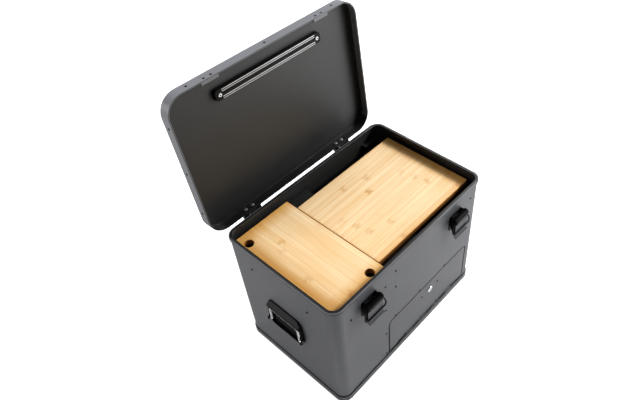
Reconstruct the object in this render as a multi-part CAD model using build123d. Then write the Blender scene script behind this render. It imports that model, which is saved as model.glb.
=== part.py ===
"""Camping chuck box: folded aluminium body, overlapping lid, fold-down flap, two bamboo boards.

Millimetres, +Z up. Origin at the middle of the footprint on the ground, front wall towards -Y.
The lid is drawn closed and then swung back to its open rest position.
"""

import os
from math import asin, degrees

from build123d import *

# ---- body ----------------------------------------------------------------------------------
body_length = 585.0
body_width = 380.6
body_height = 419.3  # outer band of the rim above the ground
frame_corner = 31.0  # plan radius of the rim and base extrusions
wall_inset = 2.75  # the walls stand back from the extrusions
sheet = 1.5
slot_fit = 0.1
seat_gap = 0.2
running_fit = 0.05
side_gap = 0.3

rim_side = 8.0
rim_width = 9.7
rim_bead = 5.0
bead_height = 0.6
rim_edge = 0.6
rim_foot = 1.5
rim_cap = 2.0
rim_groove_drop = 2.8
rim_groove = 1.1
base_height = 20.3
base_thickness = 1.5
pan_flange = 16.0

# ---- inside the body -----------------------------------------------------------------------
divider_x = -114.3  # line of its flange rivets
divider_flange = 14.6
board_seat_drop = 45.0  # ledge tops below the rim
ledge_skirt = 38.0
ledge_screw_drop = 70.8
left_ledge_reach = 60.0
ledge_side_reach = 16.0
right_ledge_reach = 68.0
ledge_corner = 22.0
left_seat_lift = 3.0  # the small board's seat above the large board's
front_ledge_end = 45.0
front_ledge_skirt = 125.0
front_ledge_reach = 44.0
front_ledge_screw_x = -74.5
front_ledge_screw_low = 113.0
cross_plate_x = (-88.0, -19.0)
cross_plate_reach = 66.0
cross_plate_upturn = 13.5
shelf_height = 190.0
shelf_skirt = 26.0
shelf_skirt_end = 255.0
shelf_upturn = 12.0
shelf_upturn_inset = 20.0
shelf_rivet_height = 177.0
shelf_rivet_x = (-75.0, 29.0, 143.0)

small_board_x = (-281.3, -97.0)
small_board_depth = 344.0
large_board_x = (-94.5, 280.0)
large_board_y = (-150.0, 135.0)
board_thickness = 18.0
board_corner = 4.0
small_board_corner = 10.0
board_edge = 1.2
finger_hole = 13.0
back_hole = (22.2, 35.2)  # from the left and the back edge
front_hole = (36.0, 16.45)  # from the right and the front edge
board_seat_gap = 0.3

# ---- lid -----------------------------------------------------------------------------------
lid_length = 600.3
lid_width = 406.5
lid_depth = 32.2
lid_corner = 50.0
lid_edge_round = 2.4
lid_inner_round = 1.0
lid_panel = 2.0
lid_overlap = 28.0
lid_open_angle = 95.45
edge_strip_depth = 20.0
edge_strip_sheet = 1.5
lid_rivet_depth = 15.0
lid_rivet_x = (-228.0, 0.0, 229.0)
lid_rivet_y = (126.0, -2.0, -131.0)

hinge_x = 174.0
hinge_width = 58.0
hinge_axis_out = 9.36  # axis behind the lid's skirt
hinge_axis_drop = 39.35  # axis below the rim
hinge_barrel = 5.0
hinge_pin = 2.0
hinge_knuckle = 18.0
hinge_leaf = 3.0
hinge_leaf_top = 36.0
hinge_leaf_height = 43.0
hinge_rivet_spread = 38.0
hinge_rivet_drop = (46.0, 70.0)
hinge_screw_spread = 23.0
hinge_screw_depth = 13.0
hinge_lid_leaf_depth = 22.0
hinge_stop_out = 12.19  # middle of the stop behind the axis
hinge_stop_reach = 12.0
hinge_stop_rise = (4.4, 4.85)
hinge_corner = 8.0

knife_bar_x = 6.0
knife_bar_from_back = 342.0
knife_bar_length = 345.0
knife_bar_width = 30.0
knife_bar_height = 12.0
knife_bar_taper = 6.0
knife_bar_corner = 8.0
knife_rail_width = 6.3
knife_rail_offset = 9.2
knife_rail_length = 303.0
knife_rail_proud = 0.6
knife_rail_sunk = 2.0
knife_rail_groove = 1.6
knife_screw_spread = 318.0

# ---- latches -------------------------------------------------------------------------------
latch_x = 175.0
latch_pivot_out = 15.5
latch_pivot_drop = 51.5
latch_barrel = 8.5
latch_pin = 2.5
latch_pin_head = (4.0, 1.2)
latch_half_width = 27.0
latch_top_drop = 46.0
latch_corner = 4.0
latch_sheet = 2.0
cheek_thickness = 2.5
cheek_half_gap = 21.0
lever_face_out = 21.0
lever_face_start = 12.0  # below the pivot
lever_length = 55.0
lever_flange_length = 52.0
lever_lip = 7.0
bail_pivot_out = 15.5
bail_pivot_drop = 59.0
bail_wire = 2.0
bail_length = 35.3
bail_half_width = 40.0
bail_stub = 30.5
bail_bend = 3.2
bail_corner = 9.0
latch_base_bottom = 98.0
latch_rivet_drop = 88.0
latch_rivet_spread = 24.0
catch_width = 48.0
catch_channel = 4.2
catch_sheet = 1.5
catch_height = 7.2
catch_lift = 0.3
catch_rivet_spread = 20.0
catch_rivet_depth = 8.6

# ---- carrying handles ----------------------------------------------------------------------
handle_half_width = 62.5
handle_bottom = 172.0
handle_top = 268.0
handle_corner = 22.0
handle_plate = 2.0
handle_wall = 3.0
handle_depth = 9.0
handle_wall_top = 226.0
handle_ramp = 22.0
bow_pivot_height = 188.0
bow_pivot_out = 7.6
bow_rod = 4.0
bow_half_width = 52.0
bow_rise = 52.0
bow_corner = 9.0
bow_boss = 8.3
grip_half_length = 58.9
grip_inset = 1.2
handle_rivet_y = 40.0
handle_rivet_heights = (181.0, 224.0)
spring_wire = 0.8
spring_turns = 2.0

# ---- flap and lock -------------------------------------------------------------------------
flap_x = (-100.5, 246.0)
flap_top = 170.6
flap_bottom = 28.6
flap_corner = 15.0
flap_seam = 4.0
flap_return = 9.0
flap_axis_height = 24.6
flap_axis_out = 1.9
flap_barrel = 2.5
flap_pin = 1.0
flap_hinge_x = (-63.0, 222.0)
flap_hinge_knuckles = 9
flap_leaf = 1.0
flap_rivet_height = 32.6
flap_rivet_x = (-32.0, 41.0, 115.0, 190.0)
lock_x = 78.4
lock_height = 132.0
lock_radius = 10.0
lock_bore = 8.0
lock_rivet_x = (41.0, 114.0)
lock_proud = 2.4
lock_plug_radius = 6.0
lock_length = 6.5
cam_length = 46.0
cam_width = 14.0
cam_sheet = 2.0

# ---- fasteners -----------------------------------------------------------------------------
rivet_shank = 1.6
rivet_head = 3.3
rivet_height = 1.1
hinge_rivet_head = 3.6
screw_head = 5.5
screw_head_height = 3.0
screw_shank = 2.5
ledge_screw = 2.0
ledge_screw_head = 3.4
ledge_screw_dome = 1.4
hinge_rivet_shank = 2.0

# ---- worked out ----------------------------------------------------------------------------
half_length = body_length / 2
half_width = body_width / 2
face_x = half_length - wall_inset
face_y = half_width - wall_inset
inner_x = face_x - sheet
inner_y = face_y - sheet
hinge_z = body_height - hinge_axis_drop
lid_edge_z = body_height - lid_overlap
lid_top_z = lid_edge_z + lid_depth
lid_skirt_y = lid_width / 2
hinge_y = lid_skirt_y + hinge_axis_out
stop_y = hinge_y + hinge_stop_out
seat_z = body_height - board_seat_drop
left_seat_z = seat_z + left_seat_lift
latch_pivot_z = body_height - latch_pivot_drop


# ---- shared shapes -------------------------------------------------------------------------
def slab(x0, x1, y0, y1, z0, z1):
    middle = Pos((x0 + x1) / 2, (y0 + y1) / 2, (z0 + z1) / 2)
    return middle * Box(abs(x1 - x0), abs(y1 - y0), abs(z1 - z0))


def bar_x(y, z, radius, x0, x1):
    return Pos((x0 + x1) / 2, y, z) * Rot(0, 90, 0) * Cylinder(radius, abs(x1 - x0))


def bar_y(x, z, radius, y0, y1):
    return Pos(x, (y0 + y1) / 2, z) * Rot(90, 0, 0) * Cylinder(radius, abs(y1 - y0))


def bar_z(x, y, radius, z0, z1):
    return Pos(x, y, (z0 + z1) / 2) * Cylinder(radius, abs(z1 - z0))


def along_x(points, x0, x1):
    """Prism between x0 and x1 whose outline is given as (y, z) points."""
    face = make_face(Polyline(*[(0, y, z) for y, z in points], close=True))
    return Pos(x0, 0, 0) * extrude(face, x1 - x0, dir=(1, 0, 0))


def in_front(points):
    """Points (out, z) measured outwards from the front wall, as (y, z)."""
    return [(-face_y - out, z) for out, z in points]


def plan(inset):
    return RectangleRounded(body_length - 2 * inset, body_width - 2 * inset, frame_corner - inset)


def tube_of_plan(outer, inner, z0, z1):
    ring = plan(outer) - plan(inner)
    return Pos(0, 0, z0) * extrude(ring, z1 - z0)


def swept_frame(section):
    """Sweeps (inset, z) points of an extrusion round the body's plan."""
    path = plan(0).wire()
    start, heading = path @ 0, path % 0
    inwards = Vector(0, 0, 1).cross(heading)
    if inwards.dot(start) > 0:
        inwards = -inwards
    corners = [start + inwards * inset + Vector(0, 0, z) for inset, z in section]
    return sweep(make_face(Polyline(*corners, close=True)), path=path)


def facing(sign, x, y, z):
    """Place whose own +Z points along Y, towards the back when sign is 1."""
    return Plane(origin=(x, y, z), x_dir=(1, 0, 0), z_dir=(0, sign, 0)).location


def front(x, z):
    return facing(-1, x, -face_y, z)


def back(x, z):
    return facing(1, x, face_y, z)


def side(sign, y, z):
    return Plane(origin=(sign * face_x, y, z), x_dir=(0, sign, 0), z_dir=(sign, 0, 0)).location


def rivet(grip, radius=rivet_head, height=rivet_height, shank=rivet_shank):
    """Low domed head above z = 0, shank down through the sheets."""
    head = Pos(0, 0, height / 2) * Cone(radius, radius * 0.6, height)
    return head + Pos(0, 0, -grip / 2) * Cylinder(shank, grip)


def bore(grip, shank=rivet_shank):
    return Pos(0, 0, -grip / 2) * Cylinder(shank + running_fit, grip + 2.0)


def group(shapes):
    return Compound(children=list(shapes))


def closed_to_open(shape):
    """Swings a piece of the lid from closed to its open rest position."""
    return Pos(0, hinge_y, hinge_z) * Rot(-lid_open_angle, 0, 0) * Pos(0, -hinge_y, -hinge_z) * shape


# ---- places of the fasteners ---------------------------------------------------------------
def divider_rivet_places():
    heights = (33.0, 134.0, 245.0, 346.0)
    return [place(divider_x, z) for z in heights for place in (front, back)]


def ledge_screw_places():
    z = body_height - ledge_screw_drop
    upper = seat_z - 3.0
    places = [side(-1, 102.8, z), side(-1, -93.8, z), front(-238.0, z), back(-238.0, z)]
    places += [side(1, 102.8, z), side(1, -93.8, z), front(244.4, upper), back(244.4, upper)]
    places += [front(front_ledge_screw_x, upper)]
    places += [front(front_ledge_screw_x, body_height - front_ledge_screw_low)]
    return places


def shelf_rivet_places():
    return [place(x, shelf_rivet_height) for x in shelf_rivet_x for place in (front, back)]


def cross_screw_place():
    return back(cross_plate_x[0] + 11.0, body_height - 39.6)


def hinge_rivet_places():
    offsets = (-hinge_rivet_spread / 2, hinge_rivet_spread / 2)
    return [
        back(centre + offset, body_height - drop)
        for centre in (-hinge_x, hinge_x)
        for offset in offsets
        for drop in hinge_rivet_drop
    ]


def latch_rivet_places():
    offsets = (-latch_rivet_spread / 2, latch_rivet_spread / 2)
    return [front(c + o, body_height - latch_rivet_drop) for c in (-latch_x, latch_x) for o in offsets]


def handle_rivet_places(sign):
    return [side(sign, y, z) for y in (-handle_rivet_y, handle_rivet_y) for z in handle_rivet_heights]


# ---- body ----------------------------------------------------------------------------------
def rim_section():
    wall = (wall_inset - slot_fit, wall_inset + sheet + slot_fit)
    bead_start = rim_width - rim_bead
    groove_top = body_height - rim_groove_drop
    return [
        (0, body_height - rim_side),
        (0, groove_top - rim_groove),
        (rim_groove, groove_top - rim_groove),
        (rim_groove, groove_top),
        (0, groove_top),
        (0, body_height - rim_edge),
        (rim_edge, body_height),
        (bead_start, body_height),
        (bead_start + rim_edge, body_height + bead_height),
        (rim_width - rim_edge, body_height + bead_height),
        (rim_width, body_height),
        (rim_width, body_height - rim_side + rim_foot),
        (wall[1], body_height - rim_side),
        (wall[1], body_height - rim_cap),
        (wall[0], body_height - rim_cap),
        (wall[0], body_height - rim_side),
    ]


def rim_profile():
    return swept_frame(rim_section())


def base_profile():
    wall = wall_inset - slot_fit
    foot = wall_inset + sheet
    return swept_frame([
        (0, 0),
        (0, base_height - 1.5),
        (1.0, base_height),
        (wall, base_height),
        (wall, base_thickness),
        (foot, base_thickness),
        (foot, 0),
    ])


def flap_opening():
    x0, x1 = flap_x[0] - flap_seam, flap_x[1] + flap_seam
    top = flap_top + flap_seam
    opening = slab(x0, x1, -face_y - 5, -inner_y + 5, base_height, top)
    corners = opening.edges().filter_by(Axis.Y).group_by(Axis.Z)[-1]
    return fillet(corners, flap_corner + flap_seam)


def body_shell():
    walls = tube_of_plan(wall_inset, wall_inset + sheet, base_thickness, body_height - rim_cap - seat_gap)
    walls -= flap_opening()
    places = divider_rivet_places() + shelf_rivet_places() + latch_rivet_places()
    places += handle_rivet_places(-1) + handle_rivet_places(1)
    walls -= [place * bore(sheet) for place in places]
    walls -= [place * bore(sheet, ledge_screw) for place in ledge_screw_places() + [cross_screw_place()]]
    walls -= [place * bore(sheet, hinge_rivet_shank) for place in hinge_rivet_places()]
    return walls


def floor_pan():
    inset = wall_inset + sheet + slot_fit
    tray = tube_of_plan(inset, inset + sheet, 0, pan_flange)
    floor = extrude(plan(inset), base_thickness)
    return tray + floor


# ---- inside --------------------------------------------------------------------------------
def divider_panel():
    web_x = divider_x - divider_flange / 2
    floor = pan_flange + 2.0
    top = left_seat_z
    web = slab(web_x, web_x + sheet, -inner_y, inner_y, floor, top)
    front_flange = slab(web_x, web_x + divider_flange, -inner_y, -inner_y + sheet, floor, top)
    back_flange = slab(web_x, web_x + divider_flange, inner_y - sheet, inner_y, floor, top)
    top_flange = slab(web_x, web_x + divider_flange, -inner_y, inner_y, top - sheet, top)
    panel = web + front_flange + back_flange + top_flange
    return panel - [place * bore(2 * sheet) for place in divider_rivet_places()]


def ledge(sign, end_x, seat):
    """U-shaped shelf bracket round one end of the box, open towards the middle."""
    top = Pos(0, 0, seat - sheet) * extrude(plan(wall_inset + sheet), sheet)
    inner = half_length - wall_inset - sheet
    side_edge = sign * (inner - ledge_side_reach)
    top &= slab(sign * end_x, sign * half_length, -half_width, half_width, 0, body_height)
    reach_y = inner_y - ledge_side_reach
    window = slab(sign * end_x - sign, side_edge, -reach_y, reach_y, seat - 2 * sheet, seat + sheet)
    near = window.edges().filter_by(Axis.Z).sort_by(Axis.X)
    window = fillet(near[-2:] if sign > 0 else near[:2], ledge_corner)
    flange = tube_of_plan(wall_inset + sheet, wall_inset + 2 * sheet, seat - ledge_skirt, seat)
    flange &= slab(sign * end_x, sign * half_length, -half_width, half_width, 0, body_height)
    bracket = top - window + flange
    return bracket - [place * bore(2 * sheet, ledge_screw) for place in ledge_screw_places()]


def left_ledge():
    return ledge(-1, inner_x - left_ledge_reach, left_seat_z)


def right_ledge():
    return ledge(1, inner_x - right_ledge_reach, seat_z)


def front_ledge():
    start = divider_x + divider_flange / 2 + 1.0
    top = slab(start, front_ledge_end, -inner_y, -inner_y + front_ledge_reach, seat_z - sheet, seat_z)
    low = body_height - front_ledge_skirt
    skirt = slab(start, front_ledge_end, -inner_y, -inner_y + sheet, low, seat_z)
    bracket = top + skirt
    bracket = fillet(bracket.edges().filter_by(Axis.Z).group_by(Axis.Y)[-1], 8.0)
    return bracket - [place * bore(2 * sheet, ledge_screw) for place in ledge_screw_places()]


def cross_plate():
    x0, x1 = cross_plate_x
    top = slab(x0, x1, inner_y - cross_plate_reach, inner_y, seat_z - sheet, seat_z)
    upturn = slab(x0, x1, inner_y - sheet, inner_y, seat_z - sheet, seat_z + cross_plate_upturn)
    return top + upturn - cross_screw_place() * bore(2 * sheet, ledge_screw)


def compartment_shelf():
    start = divider_x - divider_flange / 2 + sheet
    deck = Pos(0, 0, shelf_height) * extrude(plan(wall_inset + sheet), sheet)
    deck &= slab(start, half_length, -half_width, half_width, 0, body_height)
    low = shelf_height - shelf_skirt
    high = shelf_height + shelf_skirt
    skirt_start = divider_x + divider_flange / 2
    edges = [(s * inner_y, s * (inner_y - sheet)) for s in (-1, 1)]
    deck -= [slab(start - 1, skirt_start, *edge, low, high) for edge in edges]
    skirts = [slab(skirt_start, shelf_skirt_end, *edge, low, shelf_height) for edge in edges]
    reach = inner_y - shelf_upturn_inset
    turned = slab(start, start + sheet, -reach, reach, shelf_height, shelf_height + shelf_upturn)
    shelf = deck + skirts + turned
    return shelf - [place * bore(2 * sheet) for place in shelf_rivet_places()]


def board(x0, x1, y0, y1, seat, left_corner):
    bottom = seat + board_seat_gap
    blank = slab(x0, x1, y0, y1, bottom, bottom + board_thickness)
    blank = fillet(blank.edges().filter_by(Axis.Z).group_by(Axis.X)[0], left_corner)
    blank = fillet(blank.edges().filter_by(Axis.Z).group_by(Axis.X)[-1], board_corner)
    rims = blank.faces().filter_by(Axis.Z).edges()
    return chamfer(rims, board_edge)


def small_board():
    half = small_board_depth / 2
    x0, x1 = small_board_x
    plain = board(x0, x1, -half, half, left_seat_z, small_board_corner)
    holes = [(x0 + back_hole[0], half - back_hole[1]), (x1 - front_hole[0], front_hole[1] - half)]
    top = left_seat_z + 2 * board_thickness
    return plain - [bar_z(x, y, finger_hole, left_seat_z, top) for x, y in holes]


def large_board():
    return board(*large_board_x, *large_board_y, seat_z, board_corner)


# ---- lid, drawn closed ---------------------------------------------------------------------
def lid_plan(inset):
    return RectangleRounded(lid_length - 2 * inset, lid_width - 2 * inset, lid_corner - inset)


def lid_bores():
    """Bores of every fastener through the lid's skirt."""
    z = lid_edge_z + lid_rivet_depth
    depth = 2 * sheet + 3
    bores = [bar_y(x, z, rivet_shank + running_fit, s * lid_skirt_y, s * (lid_skirt_y - depth))
             for x in lid_rivet_x for s in (-1, 1)]
    side_x = lid_length / 2
    bores += [bar_x(y, z, rivet_shank + running_fit, s * side_x, s * (side_x - depth))
              for y in lid_rivet_y for s in (-1, 1)]
    z = lid_edge_z + hinge_screw_depth
    bores += [bar_y(x, z, screw_shank + running_fit, lid_skirt_y, lid_skirt_y - depth) for x in hinge_screw_x()]
    z = lid_edge_z + catch_rivet_depth
    bores += [bar_y(x, z, rivet_shank + running_fit, -lid_skirt_y, depth - lid_skirt_y) for x in catch_rivet_x()]
    return bores


def hinge_screw_x():
    return [c + o for c in (-hinge_x, hinge_x) for o in (-hinge_screw_spread / 2, hinge_screw_spread / 2)]


def catch_rivet_x():
    return [c + o for c in (-latch_x, latch_x) for o in (-catch_rivet_spread / 2, catch_rivet_spread / 2)]


def lid_shell():
    outer = Pos(0, 0, lid_edge_z) * extrude(lid_plan(0), lid_depth)
    outer = fillet(outer.faces().sort_by(Axis.Z)[-1].edges(), lid_edge_round)
    cavity = Pos(0, 0, lid_edge_z - 1) * extrude(lid_plan(sheet), lid_depth - lid_panel + 1)
    cavity = fillet(cavity.faces().sort_by(Axis.Z)[-1].edges(), lid_inner_round)
    bar_screws = [
        bar_z(x, knife_bar_y(), screw_shank + running_fit, lid_top_z - 10, lid_top_z + 5) for x in knife_screw_x()
    ]
    return outer - cavity - lid_bores() - bar_screws


def lid_edge_strip():
    ring = lid_plan(sheet) - lid_plan(sheet + edge_strip_sheet)
    strip = Pos(0, 0, lid_edge_z + 0.3) * extrude(ring, edge_strip_depth - 0.3)
    return strip - lid_bores()


def lid_rivets():
    z = lid_edge_z + lid_rivet_depth
    grip = sheet + edge_strip_sheet
    pieces = []
    for s in (-1, 1):
        for x in lid_rivet_x:
            pieces.append(facing(s, x, s * lid_skirt_y, z) * rivet(grip))
        for y in lid_rivet_y:
            place = Plane(origin=(s * lid_length / 2, y, z), x_dir=(0, 1, 0), z_dir=(s, 0, 0)).location
            pieces.append(place * rivet(grip))
    return group(pieces)


def lid_hinge_leaf(centre):
    skirt = lid_skirt_y
    half = hinge_width / 2
    top = lid_edge_z + hinge_lid_leaf_depth
    leaf = slab(centre - half, centre + half, skirt, skirt + hinge_leaf, lid_edge_z - 1.0, top)
    leaf = fillet(leaf.edges().filter_by(Axis.Y).group_by(Axis.Z)[-1], hinge_corner)
    mid = half - hinge_knuckle - side_gap
    crank = along_x(
        [
            (skirt, lid_edge_z),
            (skirt + hinge_leaf, lid_edge_z),
            (hinge_y + 1.0, hinge_z + 3.0),
            (hinge_y - 2.5, hinge_z + 0.5),
        ],
        centre - mid,
        centre + mid,
    )
    barrel = bar_x(hinge_y, hinge_z, hinge_barrel, centre - mid, centre + mid)
    leaf = leaf + crank + barrel
    leaf -= bar_x(hinge_y, hinge_z, hinge_pin + running_fit, centre - half, centre + half)
    return leaf - [
        bar_y(x, lid_edge_z + hinge_screw_depth, screw_shank + running_fit, skirt - 5, skirt + 5)
        for x in hinge_screw_x()
    ]


def lid_hinge_leaves():
    return group([lid_hinge_leaf(-hinge_x), lid_hinge_leaf(hinge_x)])


def hinge_screws():
    """Button heads inside the lid, shanks out through skirt and leaf."""
    inside = lid_skirt_y - sheet - edge_strip_sheet
    screws = []
    for x in hinge_screw_x():
        place = facing(-1, x, inside, lid_edge_z + hinge_screw_depth)
        head = Pos(0, 0, screw_head_height / 2) * Cylinder(screw_head, screw_head_height)
        head = fillet(head.edges().sort_by(Axis.Z)[-1], screw_head_height * 0.6)
        head -= Pos(0, 0, screw_head_height - 0.7) * extrude(RegularPolygon(1.7, 6), 1.0)
        length = sheet + edge_strip_sheet + hinge_leaf + 3.5
        screws.append(place * (head + Pos(0, 0, -length / 2) * Cylinder(screw_shank, length)))
    return group(screws)


def hinge_nuts():
    seat = lid_skirt_y + hinge_leaf
    nuts = []
    for x in hinge_screw_x():
        place = facing(1, x, seat, lid_edge_z + hinge_screw_depth)
        nut = extrude(RegularPolygon(4.6, 6), 3.2) - Cylinder(screw_shank + running_fit, 12)
        nuts.append(place * nut)
    return group(nuts)


def latch_catch(centre):
    """Hook-shaped strip that the bail pulls on, open upwards inside the skirt."""
    back_y = -(lid_skirt_y - sheet - edge_strip_sheet)
    low = lid_edge_z + catch_lift
    half = catch_width / 2
    depth = 2 * catch_sheet + catch_channel
    hook = along_x(
        [
            (back_y, low),
            (back_y + depth, low),
            (back_y + depth, low + catch_height),
            (back_y + depth - catch_sheet, low + catch_height),
            (back_y + depth - catch_sheet, low + catch_sheet),
            (back_y + catch_sheet, low + catch_sheet),
            (back_y + catch_sheet, low + 13.0),
            (back_y, low + 13.0),
        ],
        centre - half,
        centre + half,
    )
    bores = [
        bar_y(x, lid_edge_z + catch_rivet_depth, rivet_shank + running_fit, back_y - 3, back_y + 3)
        for x in catch_rivet_x()
    ]
    return hook - bores


def latch_catches():
    return group([latch_catch(-latch_x), latch_catch(latch_x)])


def catch_rivets():
    grip = sheet + edge_strip_sheet + catch_sheet
    z = lid_edge_z + catch_rivet_depth
    return group(
        facing(-1, x, -lid_skirt_y, z) * rivet(grip)
        for x in catch_rivet_x()
    )


def knife_bar_y():
    """The bar lies a set distance from the lid's back face."""
    return lid_skirt_y - knife_bar_from_back


def knife_screw_x():
    return [knife_bar_x - knife_screw_spread / 2, knife_bar_x + knife_screw_spread / 2]


def knife_bar():
    seat = lid_top_z - lid_panel
    outline = RectangleRounded(knife_bar_length, knife_bar_width, knife_bar_corner)
    base = Pos(knife_bar_x, knife_bar_y(), seat) * outline
    bar = extrude(base, knife_bar_height, dir=(0, 0, -1), taper=knife_bar_taper)
    face = seat - knife_bar_height
    for s in (-1, 1):
        y = knife_bar_y() + s * knife_rail_offset
        half = knife_rail_width / 2 + slot_fit
        reach = knife_rail_length / 2 + slot_fit
        bar -= slab(knife_bar_x - reach, knife_bar_x + reach, y - half, y + half, face - 1, face + knife_rail_sunk)
    bar -= [bar_z(x, knife_bar_y(), screw_shank + running_fit, seat + 1, face - 1) for x in knife_screw_x()]
    return bar


def knife_rails():
    face = lid_top_z - lid_panel - knife_bar_height
    rails = []
    for s in (-1, 1):
        y = knife_bar_y() + s * knife_rail_offset
        half = knife_rail_width / 2
        reach = knife_rail_length / 2
        outline = (knife_bar_x - reach, knife_bar_x + reach, y - half, y + half)
        rail = slab(*outline, face - knife_rail_proud, face + knife_rail_sunk)
        groove = (y - knife_rail_groove / 2, y + knife_rail_groove / 2)
        rails.append(rail - slab(*outline[:2], *groove, face - knife_rail_proud, face))
    return group(rails)


def knife_bar_screws():
    face = lid_top_z - lid_panel - knife_bar_height
    screws = []
    for x in knife_screw_x():
        head = bar_z(x, knife_bar_y(), screw_head - 0.5, face - 2.2, face)
        head = chamfer(head.edges().sort_by(Axis.Z)[0], 1.0)
        head -= bar_z(x, knife_bar_y(), 1.7, face - 3, face - 1.2)
        screws.append(head + bar_z(x, knife_bar_y(), screw_shank, face, lid_top_z - 0.2))
    return group(screws)


# ---- hinge parts on the body ---------------------------------------------------------------
def hinge_bracket(centre):
    half = hinge_width / 2
    top = body_height - hinge_leaf_top
    plate = slab(centre - half, centre + half, face_y, face_y + hinge_leaf, top - hinge_leaf_height, top)
    plate = fillet(plate.edges().filter_by(Axis.Y).group_by(Axis.Z)[0], hinge_corner)
    arm = slab(centre - half, centre + half, face_y, hinge_y, hinge_z - hinge_leaf / 2, hinge_z + hinge_leaf / 2)
    barrel = bar_x(hinge_y, hinge_z, hinge_barrel, centre - half, centre + half)
    tip_y = stop_y + hinge_stop_reach / 2
    stop = along_x(
        [
            (hinge_y, hinge_z - hinge_barrel),
            (tip_y, hinge_z - hinge_barrel + 1.0),
            (tip_y, hinge_z + hinge_stop_rise[0]),
            (stop_y + 1.0, hinge_z + hinge_stop_rise[1]),
            (hinge_y, hinge_z),
        ],
        centre - half,
        centre + half,
    )
    mid = half - hinge_knuckle
    notch = bar_x(hinge_y, hinge_z, hinge_barrel + side_gap, centre - mid, centre + mid)
    reach = stop_y + hinge_stop_reach
    notch += slab(centre - mid, centre + mid, hinge_y - 8.0, reach, hinge_z - 9.0, hinge_z + 9.0)
    bracket = plate + arm + barrel + stop - notch
    bracket -= bar_x(hinge_y, hinge_z, hinge_pin + running_fit, centre - half - 1, centre + half + 1)
    return bracket - [place * Pos(0, 0, hinge_leaf) * bore(hinge_leaf, hinge_rivet_shank) for place in hinge_rivet_places()]


def hinge_brackets():
    return group([hinge_bracket(-hinge_x), hinge_bracket(hinge_x)])


def hinge_pins():
    half = hinge_width / 2
    pins = []
    for centre in (-hinge_x, hinge_x):
        pin = bar_x(hinge_y, hinge_z, hinge_pin, centre - half, centre + half)
        head = bar_x(hinge_y, hinge_z, hinge_pin + 1.5, centre + half, centre + half + 1.5)
        pins.append(pin + head)
    return group(pins)


def hinge_rivets():
    return group(
        place * Pos(0, 0, hinge_leaf) * rivet(hinge_leaf + sheet, hinge_rivet_head, 1.6, hinge_rivet_shank)
        for place in hinge_rivet_places()
    )


# ---- latches -------------------------------------------------------------------------------
def out(distance):
    return -face_y - distance


def latch_base(centre):
    top = body_height - latch_top_drop
    low = body_height - latch_base_bottom
    base = slab(centre - latch_half_width, centre + latch_half_width, out(0), out(latch_sheet), low, top)
    base = fillet(base.edges().filter_by(Axis.Y), latch_corner)
    for s in (-1, 1):
        inner = centre + s * cheek_half_gap
        outer = inner + s * cheek_thickness
        web = along_x(
            in_front([
                (latch_sheet - 0.5, top),
                (latch_pivot_out, latch_pivot_z + latch_barrel),
                (latch_pivot_out + 3.0, latch_pivot_z - latch_barrel + 0.9),
                (latch_sheet - 0.5, latch_pivot_z - 24.0),
            ]),
            min(inner, outer),
            max(inner, outer),
        )
        base += web + bar_x(out(latch_pivot_out), latch_pivot_z, latch_barrel, inner, outer)
    span = (centre - bail_half_width, centre + bail_half_width)
    base -= bar_x(out(latch_pivot_out), latch_pivot_z, latch_pin + running_fit, *span)
    return base - [place * Pos(0, 0, latch_sheet) * bore(latch_sheet) for place in latch_rivet_places()]


def latch_pin_piece(centre):
    half = latch_half_width + side_gap
    pin = bar_x(out(latch_pivot_out), latch_pivot_z, latch_pin, centre - half, centre + half)
    ends = [(centre + s * half, centre + s * (half + latch_pin_head[1])) for s in (-1, 1)]
    heads = [bar_x(out(latch_pivot_out), latch_pivot_z, latch_pin_head[0], *end) for end in ends]
    return pin + heads


def latch_pins():
    return group([latch_pin_piece(-latch_x), latch_pin_piece(latch_x)])


def latch_rivets():
    return group(place * Pos(0, 0, latch_sheet) * rivet(latch_sheet + sheet) for place in latch_rivet_places())


def lever(centre):
    pivot_y = out(latch_pivot_out)
    face_z = latch_pivot_z - lever_face_start
    tip_z = latch_pivot_z - lever_length
    half = latch_half_width
    edges = (centre - half, centre + half)
    plate = slab(*edges, out(lever_face_out), out(lever_face_out - latch_sheet), tip_z, face_z)
    lip_y = out(lever_face_out + lever_lip - latch_sheet)
    lip = bar_x(lip_y, tip_z, lever_lip, *edges) - bar_x(lip_y, tip_z, lever_lip - latch_sheet, *edges)
    lip &= slab(*edges, lip_y, out(0), tip_z - 2 * lever_lip, tip_z)
    mid = cheek_half_gap - side_gap
    knuckle = bar_x(pivot_y, latch_pivot_z, latch_barrel, centre - mid, centre + mid)
    web = along_x(
        in_front([
            (latch_pivot_out, latch_pivot_z - latch_barrel),
            (latch_pivot_out + latch_barrel - 0.3, latch_pivot_z - 2.0),
            (lever_face_out, face_z),
            (lever_face_out - latch_sheet, face_z),
        ]),
        centre - mid,
        centre + mid,
    )
    body = plate + lip + knuckle + web
    for s in (-1, 1):
        x0 = centre + s * (cheek_half_gap + cheek_thickness + side_gap)
        x1 = centre + s * half
        flange = along_x(
            in_front([
                (4.5, latch_pivot_z - 3.0),
                (lever_face_out, latch_pivot_z - 3.0),
                (lever_face_out, latch_pivot_z - lever_flange_length),
                (lever_face_out - 6.0, latch_pivot_z - lever_flange_length),
                (4.5, latch_pivot_z - 2 * lever_face_start),
            ]),
            min(x0, x1),
            max(x0, x1),
        )
        body += flange + bar_x(pivot_y, latch_pivot_z, latch_barrel, x0, x1)
    body -= bar_x(pivot_y, latch_pivot_z, latch_pin + running_fit, *edges)
    bail_z = body_height - bail_pivot_drop
    return body - bar_x(out(bail_pivot_out), bail_z, bail_wire + running_fit, *edges)


def bail_rest_angle():
    """Lean of the bail, whose cross wire lies on the lever's face."""
    gap = lever_face_out + bail_wire + side_gap - bail_pivot_out
    return degrees(asin(gap / bail_length))


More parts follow.
